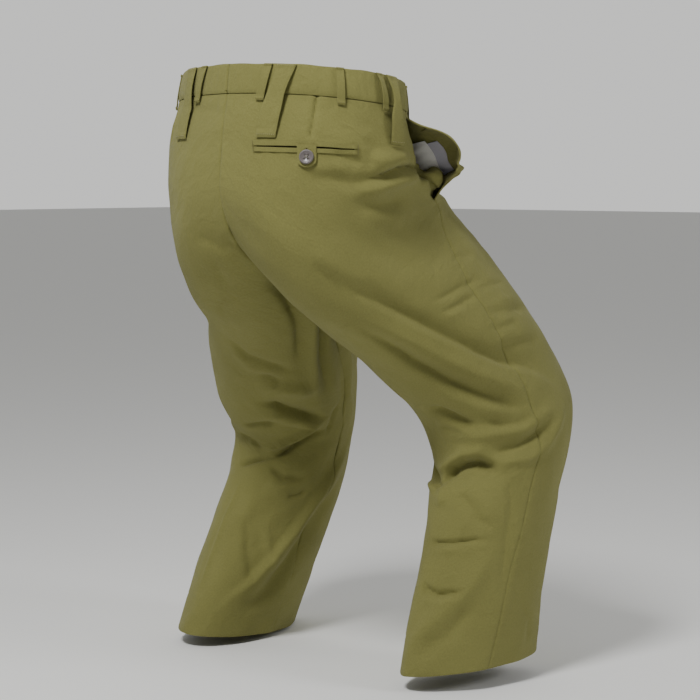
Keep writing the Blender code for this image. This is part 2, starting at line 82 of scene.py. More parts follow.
# Folds: height (a groove is negative), half width, sharpness, lean to one side, points (s, angle).
# Angle 0 is the outer side, 90 the front, 180 the inner leg, -90 the back.
# The folds that show were read off the photograph.
seatAndThigh = {
    "right": [
        (-0.0125, 0.0125, 0.45, -0.50, [(0.208, -60), (0.236, -51), (0.273, -41), (0.321, -33), (0.372, -24),
                                      (0.422, -12), (0.468, 6), (0.507, 23), (0.545, 38)]),
        (0.0060, 0.013, 0.1, 0.2, [(0.28, -60), (0.34, -48), (0.40, -36), (0.45, -22), (0.50, 0), (0.54, 24)]),
        (-0.0110, 0.010, 0.5, -0.4, [(0.283, -68), (0.325, -65), (0.38, -60), (0.43, -49), (0.474, -33),
                                      (0.513, -12), (0.535, 6)]),
        (0.0045, 0.012, 0.1, 0.2, [(0.40, -66), (0.45, -56), (0.49, -38), (0.525, -16)]),
        (-0.0025, 0.006, 0.5, 0.0, [(0.196, -63), (0.226, -58), (0.252, -57)]),
        (-0.0034, 0.006, 0.5, 0.3, [(0.340, -15), (0.355, 6), (0.369, 20)]),
        (0.0018, 0.007, 0.2, 0.0, [(0.350, -15), (0.366, 4)]),
        (-0.0032, 0.0055, 0.5, 0.0, [(0.320, -12), (0.337, 10), (0.357, 28)]),
        (-0.0028, 0.006, 0.4, 0.0, [(0.390, 10), (0.426, 32), (0.455, 58)]),
        (-0.0028, 0.006, 0.4, 0.2, [(0.412, 6), (0.446, 33)]),
        (-0.0032, 0.006, 0.5, 0.0, [(0.440, 2), (0.460, 19), (0.488, 44)]),
        (-0.0016, 0.005, 0.4, 0.0, [(0.360, 18), (0.406, 53)]),
        (0.0016, 0.006, 0.2, 0.0, [(0.394, 22), (0.430, 52)]),
        (-0.0015, 0.006, 0.4, 0.0, [(0.290, 14), (0.330, 40)]),
        (-0.0030, 0.014, 0.1, 0.0, [(0.160, -50), (0.182, -32), (0.235, -14), (0.300, -4)]),
        (0.0024, 0.012, 0.1, 0.0, [(0.186, -64), (0.210, -50), (0.250, -38)]),
        (-0.0022, 0.010, 0.2, 0.0, [(0.160, -34), (0.185, -13), (0.232, 8)]),
        (-0.0035, 0.016, 0.1, 0.0, [(0.19, 60), (0.20, 85), (0.205, 115)]),
        (0.0015, 0.018, 0.0, 0.0, [(0.225, 55), (0.235, 90), (0.235, 130)]),
        (-0.0040, 0.012, 0.2, 0.0, [(0.26, 65), (0.275, 100), (0.28, 140)]),
        (-0.0050, 0.012, 0.2, 0.0, [(0.47, 100), (0.51, 140), (0.545, 175)]),
        (0.0050, 0.012, 0.1, 0.0, [(0.50, 120), (0.53, 155), (0.56, 200)]),
    ],
    "left": [
        (-0.0036, 0.006, 0.6, 0.2, [(0.172, -92), (0.180, -105), (0.190, -118)]),
        (-0.0040, 0.006, 0.6, 0.2, [(0.174, -107), (0.182, -120), (0.200, -131)]),
        (0.0028, 0.007, 0.2, 0.0, [(0.155, -107), (0.176, -117), (0.206, -135)]),
        (-0.0032, 0.007, 0.5, 0.0, [(0.188, -104), (0.226, -113), (0.285, -96)]),
        (-0.0100, 0.010, 0.4, 0.3, [(0.215, -142), (0.275, -153), (0.333, -145), (0.40, -136)]),
        (0.0075, 0.009, 0.3, 0.0, [(0.24, -162), (0.32, -160), (0.40, -150), (0.50, -147)]),
        (-0.0115, 0.009, 0.4, 0.0, [(0.265, -172), (0.339, -168), (0.412, -160), (0.50, -160)]),
        (-0.0060, 0.013, 0.3, 0.0, [(0.33, 177), (0.49, 183), (0.59, 181)]),
        (0.0055, 0.010, 0.3, 0.0, [(0.38, 170), (0.466, 172), (0.53, 176), (0.60, 160)]),
        (-0.0058, 0.0065, 0.6, 0.2, [(0.330, -85), (0.365, -98), (0.374, -111), (0.390, -124), (0.410, -135)]),
        (0.0032, 0.008, 0.2, 0.0, [(0.350, -84), (0.385, -100), (0.392, -112), (0.41, -124)]),
        (-0.0035, 0.016, 0.1, 0.0, [(0.19, 60), (0.20, 85), (0.205, 115)]),
        (0.0015, 0.018, 0.0, 0.0, [(0.225, 55), (0.235, 90), (0.235, 130)]),
        (-0.0040, 0.012, 0.2, 0.0, [(0.26, 60), (0.28, 95), (0.285, 135)]),
        (-0.0045, 0.013, 0.1, 0.0, [(0.30, -40), (0.37, -20), (0.45, 5), (0.53, 30)]),
        (-0.0040, 0.012, 0.2, 0.0, [(0.135, -30), (0.15, -10), (0.155, 12)]),
        (-0.0014, 0.006, 0.4, 0.0, [(0.032, -60), (0.039, -77), (0.044, -92)]),
    ],
}
pocketHip = {
    "right": [
        (-0.0115, 0.0058, 0.65, 0.2, [(0.124, -24), (0.119, -18), (0.116, -10), (0.106, 0), (0.102, 14), (0.102, 32)]),
        (0.0090, 0.010, 0.2, 0.0, [(0.136, -30), (0.134, -14), (0.124, 0), (0.119, 14), (0.114, 26)]),
        (0.0060, 0.011, 0.1, 0.0, [(0.098, -24), (0.096, -12), (0.090, 0), (0.086, 12)]),
        (-0.0040, 0.009, 0.2, -0.2, [(0.066, -24), (0.079, -17), (0.095, -19), (0.112, -20)]),
        (0.0170, 0.015, 0.1, 0.0, [(0.114, 24), (0.132, 35), (0.148, 44)]),
        (-0.0085, 0.006, 0.5, 0.3, [(0.106, 18), (0.116, 26), (0.132, 33), (0.160, 44)]),
        (0.0040, 0.007, 0.2, 0.0, [(0.122, 12), (0.138, 24), (0.160, 34)]),
        (-0.0046, 0.010, 0.3, 0.0, [(0.113, -52), (0.121, -34), (0.128, -15)]),
        (0.0034, 0.009, 0.2, 0.0, [(0.104, -60), (0.108, -42), (0.106, -28)]),
        (-0.0036, 0.008, 0.4, 0.0, [(0.085, -40), (0.097, -30), (0.103, -22)]),
        (-0.0052, 0.011, 0.3, 0.0, [(0.150, -32), (0.155, -10), (0.152, 10)]),
        (0.0030, 0.013, 0.0, 0.0, [(0.170, -34), (0.178, -10), (0.180, 14)]),
    ],
    "left": [
        (-0.0035, 0.012, 0.1, 0.0, [(0.115, -40), (0.125, -16), (0.120, 10)]),
    ],
}
kneeAndShank = {
    "right": [
        (-0.0026, 0.008, 0.4, 0.0, [(0.350, 72), (0.366, 96), (0.360, 122)]),
        (0.0022, 0.009, 0.2, 0.0, [(0.374, 70), (0.384, 98)]),
        (-0.0026, 0.008, 0.4, 0.0, [(0.474, 66), (0.486, 90), (0.480, 114)]),
        (-0.0024, 0.008, 0.4, 0.0, [(0.622, 58), (0.655, 74), (0.700, 84)]),
        (0.0020, 0.009, 0.2, 0.0, [(0.640, 50), (0.676, 66)]),
        (-0.0022, 0.008, 0.4, 0.0, [(0.812, 62), (0.776, 84), (0.742, 108)]),
        (-0.0095, 0.0075, 0.5, 0.0, [(0.464, -90), (0.464, -80), (0.467, -74), (0.481, -66),
                                      (0.501, -55), (0.511, -44)]),
        (0.0050, 0.009, 0.1, 0.0, [(0.487, -90), (0.486, -76), (0.502, -64), (0.520, -50)]),
        (-0.0055, 0.008, 0.5, -0.2, [(0.500, -44), (0.525, -30), (0.541, -11), (0.546, 4)]),
        (0.0055, 0.009, 0.2, 0.0, [(0.506, -86), (0.522, -57), (0.534, -32), (0.550, -9), (0.554, 13), (0.563, 34)]),
        (-0.0078, 0.008, 0.4, -0.2, [(0.548, -44), (0.559, -34), (0.566, -18), (0.566, -1), (0.560, 16)]),
        (0.0065, 0.010, 0.3, -0.1, [(0.566, -44), (0.582, -30), (0.592, -10), (0.587, 7), (0.571, 24), (0.56, 38)]),
        (-0.0110, 0.010, 0.2, 0.0, [(0.574, -132), (0.584, -112), (0.592, -96)]),
        (0.0060, 0.011, 0.1, 0.0, [(0.606, -126), (0.616, -108), (0.622, -92)]),
        (0.0095, 0.010, 0.2, 0.0, [(0.560, -104), (0.560, -90), (0.549, -79), (0.542, -67),
                                     (0.546, -52), (0.566, -40)]),
        (-0.0145, 0.0080, 0.5, 0.45, [(0.600, -92), (0.575, -84), (0.561, -77), (0.556, -67),
                                        (0.559, -54), (0.576, -43), (0.600, -34)]),
        (-0.0060, 0.010, 0.4, 0.0, [(0.588, -96), (0.636, -102)]),
        (0.0050, 0.012, 0.2, 0.0, [(0.60, -88), (0.625, -86), (0.66, -88)]),
        (-0.0065, 0.0050, 0.6, 0.3, [(0.712, -104), (0.709, -80), (0.708, -62), (0.704, -46), (0.700, -30)]),
        (0.0034, 0.007, 0.2, 0.0, [(0.722, -100), (0.720, -70), (0.716, -48)]),
        (-0.0080, 0.0052, 0.6, 0.3, [(0.760, -96), (0.769, -82), (0.775, -66), (0.773, -50), (0.768, -38)]),
        (0.0036, 0.007, 0.2, 0.0, [(0.780, -88), (0.786, -66), (0.782, -48)]),
        (0.0056, 0.014, 0.1, 0.0, [(0.842, -98), (0.811, -66), (0.769, -39), (0.715, -22)]),
        (-0.0044, 0.012, 0.1, 0.0, [(0.848, -76), (0.822, -48), (0.780, -26)]),
        (-0.0034, 0.008, 0.5, 0.0, [(0.596, -29), (0.646, -19), (0.702, -16), (0.781, -9)]),
        (-0.0036, 0.008, 0.5, 0.0, [(0.620, -71), (0.650, -55), (0.676, -43), (0.690, -24)]),
        (0.0022, 0.010, 0.2, 0.0, [(0.640, -82), (0.665, -62), (0.70, -50)]),
        (-0.0018, 0.007, 0.4, 0.0, [(0.781, 7), (0.809, 25), (0.856, 28)]),
        (-0.0060, 0.012, 0.2, 0.0, [(0.55, 115), (0.57, 145), (0.59, 185), (0.60, 225)]),
        (-0.0050, 0.012, 0.2, 0.0, [(0.58, 70), (0.60, 95), (0.61, 125)]),
        (-0.0035, 0.010, 0.2, 0.0, [(0.65, 60), (0.67, 95), (0.68, 140)]),
        (-0.0030, 0.010, 0.2, 0.0, [(0.74, 120), (0.76, 160), (0.77, 200)]),
    ],
    "left": [
        (-0.0028, 0.008, 0.4, 0.0, [(0.342, 64), (0.360, 90), (0.352, 116)]),
        (0.0022, 0.009, 0.2, 0.0, [(0.368, 62), (0.380, 90)]),
        (-0.0026, 0.008, 0.4, 0.0, [(0.420, 96), (0.452, 78), (0.474, 50)]),
        (-0.0030, 0.008, 0.4, 0.0, [(0.520, 44), (0.532, 16), (0.528, -14)]),
        (-0.0024, 0.008, 0.4, 0.0, [(0.618, 44), (0.650, 60), (0.690, 78)]),
        (0.0022, 0.009, 0.2, 0.0, [(0.632, 30), (0.672, 48)]),
        (-0.0024, 0.008, 0.4, 0.0, [(0.800, 40), (0.764, 62), (0.738, 90)]),
        (-0.0030, 0.007, 0.5, 0.0, [(0.704, -44), (0.712, -20), (0.708, 6)]),
        (0.0080, 0.012, 0.2, 0.0, [(0.430, -100), (0.428, -116), (0.445, -134), (0.470, -148)]),
        (-0.0058, 0.0065, 0.5, 0.0, [(0.396, -103), (0.403, -113), (0.415, -120), (0.429, -118), (0.440, -107)]),
        (-0.0135, 0.0080, 0.6, 0.3, [(0.450, -98), (0.462, -114), (0.492, -131), (0.532, -153)]),
        (0.0055, 0.009, 0.2, 0.0, [(0.476, -98), (0.486, -114), (0.510, -130), (0.540, -148)]),
        (-0.0070, 0.006, 0.5, 0.0, [(0.512, -77), (0.500, -97), (0.500, -116)]),
        (0.0115, 0.009, 0.4, 0.2, [(0.592, -92), (0.556, -112), (0.540, -133), (0.538, -155)]),
        (-0.0105, 0.007, 0.5, 0.0, [(0.596, -105), (0.570, -122), (0.556, -140), (0.562, -156)]),
        (-0.0065, 0.007, 0.5, 0.0, [(0.565, -54), (0.558, -76), (0.578, -92)]),
        (-0.0080, 0.007, 0.5, 0.0, [(0.634, -67), (0.606, -90), (0.600, -102)]),
        (-0.0080, 0.007, 0.5, 0.2, [(0.615, -106), (0.630, -115), (0.645, -127), (0.643, -144), (0.634, -152)]),
        (0.0040, 0.007, 0.2, 0.0, [(0.655, -110), (0.662, -126), (0.658, -142)]),
        (-0.0050, 0.0050, 0.6, 0.0, [(0.676, -136), (0.670, -149), (0.660, -157)]),
        (0.0130, 0.014, 0.4, 0.45, [(0.600, 158), (0.640, 180), (0.682, 192), (0.723, 200), (0.759, 210),
                                    (0.795, 221), (0.818, 235), (0.845, 248)]),
        (-0.0100, 0.018, 0.1, 0.0, [(0.640, 156), (0.678, 168), (0.721, 179), (0.765, 190),
                                    (0.807, 203), (0.834, 226)]),
        (0.0030, 0.006, 0.6, 0.0, [(0.650, -81), (0.686, -81), (0.747, -83), (0.832, -79)]),
        (-0.0055, 0.008, 0.5, 0.0, [(0.529, -177), (0.540, -165), (0.575, -156)]),
        (0.0045, 0.012, 0.1, 0.0, [(0.56, 40), (0.57, 10), (0.565, -25), (0.56, -60)]),
        (-0.0055, 0.012, 0.2, 0.0, [(0.59, 30), (0.60, 0), (0.595, -35)]),
        (0.0030, 0.012, 0.1, 0.0, [(0.66, -98), (0.74, -112), (0.80, -132)]),
        (-0.0040, 0.009, 0.4, 0.0, [(0.70, -102), (0.76, -122), (0.81, -146)]),
        (0.0034, 0.008, 0.2, 0.0, [(0.72, -128), (0.76, -146), (0.79, -160)]),
        (-0.0050, 0.012, 0.2, 0.0, [(0.57, 75), (0.59, 100), (0.60, 130)]),
        (-0.0035, 0.010, 0.2, 0.0, [(0.66, 55), (0.68, 85), (0.69, 120)]),
    ],
}
folds = {side: seatAndThigh[side] + pocketHip[side] + kneeAndShank[side] for side in mirror}


def smoothCurve(rows, values, s):
    steps = np.diff(rows)
    slope = np.diff(values) / steps
    tangent = np.empty_like(values)
    tangent[0], tangent[-1] = slope[0], slope[-1]
    tangent[1:-1] = (slope[:-1] * steps[1:] + slope[1:] * steps[:-1]) / (steps[1:] + steps[:-1])
    i = np.clip(np.searchsorted(rows, s) - 1, 0, len(rows) - 2)
    width = rows[i + 1] - rows[i]
    t = (s - rows[i]) / width
    return ((2 * t**3 - 3 * t**2 + 1) * values[i] + (t**3 - 2 * t**2 + t) * width * tangent[i]
            + (3 * t**2 - 2 * t**3) * values[i + 1] + (t**3 - t**2) * width * tangent[i + 1])


def ringValues(side, s):
    table = np.array(rings[side], float)
    return {name: smoothCurve(table[:, 0], table[:, k], s) for k, name in enumerate(ringColumns) if k > 0}


def bodyPoint(side, s, angle):
    # smooth form of the garment, x measured outwards from the centre line
    ring = ringValues(side, s)
    pitch, splay, turn = (np.radians(ring[name]) for name in ("pitch", "splay", "turn"))
    zero = np.zeros_like(pitch)
    down = np.stack([zero, -np.sin(pitch), -np.cos(pitch)], -1)
    forward = np.stack([zero, -np.cos(pitch), np.sin(pitch)], -1)
    outward = np.stack([zero + 1, zero, zero], -1)
    outward = np.cos(splay)[..., None] * outward - np.sin(splay)[..., None] * down
    c, n = np.cos(turn)[..., None], np.sin(turn)[..., None]
    forward, outward = c * forward + n * outward, c * outward - n * forward
    closure = np.clip(ring["closure"], 0.001, 1)
    cut = ring["x"] / (closure * np.cos(splay))
    inner = np.where(closure < 0.999, cut + 1e-6, ring["inner"])
    c, n = np.cos(angle), np.sin(angle)
    across = np.where(c > 0, ring["outer"], inner) * np.sign(c) * np.abs(c) ** ring["crease"]
    along = np.where(n > 0, ring["front"], ring["back"]) * n
    centre = np.stack([ring["x"], ring["y"], ring["z"]], -1)
    return centre + across[..., None] * outward + along[..., None] * forward


def foldHeight(side, s, angle):
    total = np.zeros_like(s)
    scale = 0.105
    for height, width, sharp, lean, points in folds[side]:
        path = np.array(points, float)
        path[:, 1] = np.radians(path[:, 1])
        lengths = np.hypot(np.diff(path[:, 0]), scale * np.diff(path[:, 1]))
        nearest = np.full_like(s, 9.0)
        place = np.zeros_like(s)
        bank = np.zeros_like(s)
        begun = 0.0
        for (s0, a0), (s1, a1), length in zip(path[:-1], path[1:], lengths):
            alongS, alongA = (s1 - s0) / length, scale * (a1 - a0) / length
            offS = s - s0
            offA = scale * ((angle - a0 + np.pi) % (2 * np.pi) - np.pi)
            t = np.clip(offS * alongS + offA * alongA, 0, length)
            distance = np.hypot(offS - t * alongS, offA - t * alongA)
            closer = distance < nearest
            nearest = np.where(closer, distance, nearest)
            place = np.where(closer, begun + t, place)
            bank = np.where(closer, offS * alongA - offA * alongS, bank)
            begun += length
        ends = np.clip(np.minimum(place, begun - place) / (0.3 * begun), 0, 1)
        ends = ends * ends * (3 - 2 * ends) * 0.9 + 0.1
        reach = width * (1 + lean * np.tanh(bank / (0.35 * width)))
        d = nearest / reach
        total += height * ends * ((1 - sharp) * np.exp(-d * d) + sharp * np.exp(-1.3 * np.sqrt(d * d + 0.01)))
    return total


def rumple(side, s, angle):
    # slow, shallow unevenness of worn cloth
    x = angle * 0.11 + (0.7 if side == "left" else 0.0)
    waves = [(41, 23, 0.3, 0.0007), (-29, 47, 1.9, 0.0006), (77, 31, 4.1, 0.00035),
             (-63, 90, 2.6, 0.0003), (120, -85, 0.9, 0.00018), (35, 150, 5.2, 0.00015)]
    total = np.zeros_like(s)
    for kx, ks, phase, size in waves:
        total += size * np.sin(kx * x + ks * s + phase + 1.3 * np.sin(21 * x - 13 * s + phase))
    return total


def mouthShare(s):
    # 0 at the top of the pocket's mouth, 1 at its foot
    return np.clip((s - garment["mouthTop"]) / (garment["mouthLow"] - garment["mouthTop"]), 0, 1)


def gapeHeight(side, s, angle):
    ring = ringValues(side, s)
    seam = np.radians(ring["seam"])
    closure = np.clip(ring["closure"], 0, 1)
    reach = np.clip((angle - seam) / (np.arccos(-closure) - seam) / garment["mouthReach"], 0, 1)
    knots = np.array(mouthShape[side])
    profile = np.clip(smoothCurve(knots[:, 0], knots[:, 1], mouthShare(s)), 0, 1.5)
    return garment["mouthGape"][side] * profile * (0.5 + 0.5 * np.cos(np.pi * reach)) ** 1.2


def unitNormal(around, along):
    normal = np.cross(around, along)
    return normal / np.linalg.norm(normal, axis=-1, keepdims=True)


def sameShape(*values):
    return np.broadcast_arrays(*[np.asarray(value, float) for value in values])


def shapedPoint(side, s, angle, part):
    point = bodyPoint(side, s, angle)
    small = 1e-4
    along = bodyPoint(side, s + small, angle) - point
    around = bodyPoint(side, s, angle + small) - point
    normal = unitNormal(around, along)
    calm = np.clip((s - 0.022) / 0.03, 0, 1)
    height = foldHeight(side, s, angle) + calm * rumple(side, s, angle)
    if part == "front":
        height = height + gapeHeight(side, s, angle)
    return point + normal * height[..., None]


def clothPoint(side, s, angle, part="back", lift=0.0):
    s, angle, lift = sameShape(s, angle, lift)
    point = shapedPoint(side, s, angle, part)
    along = shapedPoint(side, s + 4e-4, angle, part) - shapedPoint(side, s - 4e-4, angle, part)
    around = shapedPoint(side, s, angle + 0.004, part) - shapedPoint(side, s, angle - 0.004, part)
    normal = unitNormal(around, along)
    point = point + normal * lift[..., None]
    point[..., 0] = np.maximum(point[..., 0], garment["seamGap"] / 2) * mirror[side]
    return point


def waistPoint(side, s, angle, lift):
    # level ring of the waistband; angles past 90 cross the centre front
    s, angle, lift = sameShape(s, angle, lift)

    def ringPoint(s, angle):
        ring = ringValues("right", s)
        pitch = np.radians(ring["pitch"])
        along = np.where(np.sin(angle) > 0, ring["front"], ring["back"]) * np.sin(angle)
        return np.stack([ring["outer"] * np.cos(angle), ring["y"] - along * np.cos(pitch),
                         ring["z"] + along * np.sin(pitch)], -1)

    along = ringPoint(s + 1e-4, angle) - ringPoint(s - 1e-4, angle)
    around = ringPoint(s, angle + 1e-4) - ringPoint(s, angle - 1e-4)
    normal = unitNormal(around, along)
    return (ringPoint(s, angle) + normal * lift[..., None]) * [mirror[side], 1, 1]


def colour(text):
    # sRGB hex to the linear values that nodes take
    values = [int(text[k:k + 2], 16) / 255 for k in (1, 3, 5)]
    return tuple(v / 12.92 if v <= 0.04045 else ((v + 0.055) / 1.055) ** 2.4 for v in values) + (1.0,)


def setLinks(tree, *pairs):
    for source, target in pairs:
        tree.links.new(source, target)


def addObject(name, data):
    thing = bpy.data.objects.new(name, data)
    bpy.context.scene.collection.objects.link(thing)
    return thing


def addNode(tree, kind, values=(), operation=None):
    # values are pairs of a socket's name or number and what it is set to
    node = tree.nodes.new(kind)
    if operation:
        node.operation = operation
    for socket, value in values:
        node.inputs[socket].default_value = value
    return node


def clothMaterial(name, light, dark, weave, sheen, rough):
    # twill: fine slanting ribs on the cloth's own UV in metres, slow uneven dye
    material = bpy.data.materials.new(name)
    material.use_nodes = True
    tree = material.node_tree
    shader = tree.nodes["Principled BSDF"]
    place = tree.nodes.new("ShaderNodeUVMap")
    place.uv_map = "cloth"
    turn = addNode(tree, "ShaderNodeMapping", [("Rotation", (0, 0, 1.05))])
    ribs = addNode(tree, "ShaderNodeTexWave", [("Scale", 1 / weave), ("Distortion", 1.2), ("Detail", 1)])
    slubs = addNode(tree, "ShaderNodeTexNoise", [("Scale", 900), ("Detail", 2)])
    shade = addNode(tree, "ShaderNodeTexNoise", [("Scale", 9), ("Detail", 3)])
    ramp = tree.nodes.new("ShaderNodeMix")
    ramp.data_type = "RGBA"
    ramp.inputs["A"].default_value = colour(dark)
    ramp.inputs["B"].default_value = colour(light)
    flecks = addNode(tree, "ShaderNodeTexNoise", [("Scale", 430), ("Detail", 3)])
    mottle = addNode(tree, "ShaderNodeMath", [(1, 0.75), (2, -0.22)], "MULTIPLY_ADD")
    blend = addNode(tree, "ShaderNodeMath", [(1, 0.2)], "MULTIPLY_ADD")
    uneven = addNode(tree, "ShaderNodeMath", [(1, 0.6)], "MULTIPLY_ADD")
    height = addNode(tree, "ShaderNodeMath", operation="ADD")
    worn = addNode(tree, "ShaderNodeTexNoise", [("Scale", 46), ("Detail", 4), ("Roughness", 0.55), ("Distortion", 0.6)])
    soft = addNode(tree, "ShaderNodeBump", [("Strength", 0.55), ("Distance", 0.0045)])
    bump = addNode(tree, "ShaderNodeBump", [("Strength", 0.35), ("Distance", 0.0003)])
    for node in (worn, turn, slubs, shade, flecks):
        setLinks(tree, (place.outputs["UV"], node.inputs["Vector"]))
    setLinks(tree, (turn.outputs["Vector"], ribs.inputs["Vector"]), (flecks.outputs["Fac"], mottle.inputs[0]),
             (ribs.outputs["Fac"], blend.inputs[0]), (mottle.outputs[0], blend.inputs[2]),
             (shade.outputs["Fac"], uneven.inputs[0]), (blend.outputs[0], uneven.inputs[2]),
             (uneven.outputs[0], ramp.inputs["Factor"]), (ramp.outputs["Result"], shader.inputs["Base Color"]),
             (worn.outputs["Fac"], soft.inputs["Height"]), (ribs.outputs["Fac"], height.inputs[0]),
             (slubs.outputs["Fac"], height.inputs[1]), (height.outputs[0], bump.inputs["Height"]),
             (soft.outputs["Normal"], bump.inputs["Normal"]), (bump.outputs["Normal"], shader.inputs["Normal"]))
    shader.inputs["Roughness"].default_value = rough
    shader.inputs["Specular IOR Level"].default_value = 0.12
    shader.inputs["Sheen Weight"].default_value = sheen
    shader.inputs["Sheen Roughness"].default_value = 0.5
    return material


def plainMaterial(name, shade, rough, specular=0.5):
    material = bpy.data.materials.new(name)
    material.use_nodes = True
    shader = material.node_tree.nodes["Principled BSDF"]
    shader.inputs["Base Color"].default_value = colour(shade)
    shader.inputs["Roughness"].default_value = rough
    shader.inputs["Specular IOR Level"].default_value = specular
    return material


twill = clothMaterial("olive cotton twill", "#8b8950", "#6f6d3d", 0.0011, 0.06, 0.88)  # lit and hollow parts
shadeDarkenedFacingTwill = clothMaterial("olive twill facing painted shade", "#827f4d", "#686639", 0.0011, 0.05, 0.9)  # painted shade: darker copy of the twill for the facings' wrong side, which lies in the mouth's shade
pocketCloth = clothMaterial("white pocketing cotton", "#f1efea", "#dddadb", 0.0008, 0.1, 0.9)  # off-white
greyCloth = clothMaterial("grey pocket lining cotton", "#b3b0ba", "#a29faa", 0.0008, 0.1, 0.9)  # grey-lilac
thread = plainMaterial("olive polyester thread", "#6f6b3c", 0.6)  # a shade below the cloth
highlightPaintedThread = plainMaterial("olive thread painted highlight", "#a39f74", 0.6)  # painted highlight: olive thread made paler where the loops' stitch line is sun-lit
buttonThread = plainMaterial("ecru button thread", "#959082", 0.6)  # cross between the holes
buttonFinish = plainMaterial("grey-lilac horn button", "#6c6563", 0.34)  # mid grey with a lilac cast
slitShadowPaint = plainMaterial("pocket slit painted shadow", "#2b2815", 0.95, 0.1)  # painted shadow: nearly black, standing for the shade inside the slit
print("materials ready")


def addMesh(name, vertices, faces, material, uv=None):
    mesh = bpy.data.meshes.new(name)
    mesh.from_pydata([tuple(v) for v in np.round(vertices, 7)], [], faces)
    mesh.materials.append(material)
    mesh.polygons.foreach_set("use_smooth", [True] * len(mesh.polygons))
    mesh.set_sharp_from_angle(angle=np.radians(48))
    if uv is not None:
        layer = mesh.uv_layers.new(name="cloth")
        corners = np.empty(len(mesh.loops), int)
        mesh.loops.foreach_get("vertex_index", corners)
        layer.data.foreach_set("uv", np.asarray(uv, float)[corners].ravel())
    return addObject(name, mesh)


def wallMesh(name, outer, inner, material, uv):
    # closed cloth between two grids of points
    rows, wide = outer.shape[:2]
    count = rows * wide
    index = np.arange(count).reshape(rows, wide)
    a, b, c, d = index[:-1, :-1], index[:-1, 1:], index[1:, 1:], index[1:, :-1]
    front = np.stack([a, b, c, d], -1).reshape(-1, 4)
    back = np.stack([a, d, c, b], -1).reshape(-1, 4) + count
    top, low, first, last = index[0], index[-1], index[:, 0], index[:, -1]
    rims = [np.stack([top[1:], top[:-1], top[:-1] + count, top[1:] + count], -1),
            np.stack([low[:-1], low[1:], low[1:] + count, low[:-1] + count], -1),
            np.stack([first[:-1], first[1:], first[1:] + count, first[:-1] + count], -1),
            np.stack([last[1:], last[:-1], last[:-1] + count, last[1:] + count], -1)]
    faces = np.concatenate([front, back] + rims)
    i, j = rows // 2, wide // 2
    normal = np.cross(outer[i, j + 1] - outer[i, j], outer[i + 1, j] - outer[i, j])
    if np.dot(normal, outer[i, j] - inner[i, j]) < 0:
        faces = faces[:, ::-1]
    vertices = np.concatenate([outer.reshape(-1, 3), inner.reshape(-1, 3)])
    uv = np.concatenate([uv.reshape(-1, 2), uv.reshape(-1, 2)])
    return addMesh(name, vertices, faces.tolist(), material, uv)


def tubeMesh(name, loops, material):
    # closed strip or bead through cross-sections that each run right round
    rows, wide = loops.shape[:2]
    index = np.arange(rows * wide).reshape(rows, wide)
    nextOne = np.roll(index, -1, axis=1)
    faces = np.stack([index[:-1], nextOne[:-1], nextOne[1:], index[1:]], -1).reshape(-1, 4).tolist()
    faces += [index[0][::-1].tolist(), index[-1].tolist()]
    middle = loops[rows // 2]
    normal = np.cross(middle[1] - middle[0], loops[rows // 2 - 1][0] - middle[0])
    if np.dot(normal, middle[0] - middle.mean(0)) > 0:
        faces = [face[::-1] for face in faces]
    around = np.concatenate([[0], np.cumsum(np.linalg.norm(np.diff(middle, axis=0), axis=1))])
    centres = loops.mean(1)
    down = np.concatenate([[0], np.cumsum(np.linalg.norm(np.diff(centres, axis=0), axis=1))])
    uv = np.stack(np.meshgrid(around, down), -1).reshape(-1, 2)
    return addMesh(name, loops.reshape(-1, 3), faces, material, uv)


stitchValues = {"spacing": 0.0027, "length": 0.0019, "radius": 0.00033}


def stitchNodes():
    group = bpy.data.node_groups.new("stitch line", "GeometryNodeTree")
    for name, kind, way in (("Geometry", "Geometry", "INPUT"), ("Spacing", "Float", "INPUT"),
                            ("Stitch length", "Float", "INPUT"), ("Thread radius", "Float", "INPUT"),
                            ("Thread", "Material", "INPUT"), ("Seed", "Int", "INPUT"),
                            ("Geometry", "Geometry", "OUTPUT")):
        group.interface.new_socket(name, in_out=way, socket_type="NodeSocket" + kind)
    nodes = {}
    for key, kind in (("in", "NodeGroupInput"), ("out", "NodeGroupOutput"), ("curve", "GeometryNodeMeshToCurve"),
                      ("points", "GeometryNodeCurveToPoints"), ("bead", "GeometryNodeMeshUVSphere"),
                      ("place", "GeometryNodeInstanceOnPoints"), ("real", "GeometryNodeRealizeInstances"),
                      ("smooth", "GeometryNodeSetShadeSmooth"), ("paint", "GeometryNodeSetMaterial"),
                      ("size", "ShaderNodeCombineXYZ"), ("half", "ShaderNodeMath"),
                      ("wander", "FunctionNodeRandomValue"), ("vary", "ShaderNodeMath")):
        nodes[key] = group.nodes.new(kind)
    nodes["points"].mode = "LENGTH"
    nodes["half"].operation = nodes["vary"].operation = "MULTIPLY"
    nodes["wander"].data_type = "FLOAT"
    for key, socket, value in (("bead", "Segments", 8), ("bead", "Rings", 6), ("bead", "Radius", 1), ("half", 1, 0.5),
                               ("wander", 2, 0.88), ("wander", 3, 1.08)):
        nodes[key].inputs[socket].default_value = value
    for source, given, target, taken in (
            ("in", "Geometry", "curve", 0), ("curve", 0, "points", 0), ("in", "Spacing", "points", "Length"),
            ("points", "Points", "place", "Points"), ("points", "Rotation", "place", "Rotation"),
            ("bead", "Mesh", "place", "Instance"), ("in", "Stitch length", "half", 0), ("in", "Seed", "wander", "Seed"),
            ("half", 0, "vary", 0), ("wander", 1, "vary", 1), ("in", "Thread radius", "size", "X"),
            ("in", "Thread radius", "size", "Y"), ("vary", 0, "size", "Z"), ("size", 0, "place", "Scale"),
            ("place", 0, "real", 0), ("real", 0, "smooth", 0), ("smooth", 0, "paint", 0),
            ("in", "Thread", "paint", "Material"), ("paint", 0, "out", 0)):
        group.links.new(nodes[source].outputs[given], nodes[target].inputs[taken])
    return group


stitchGroup = stitchNodes()


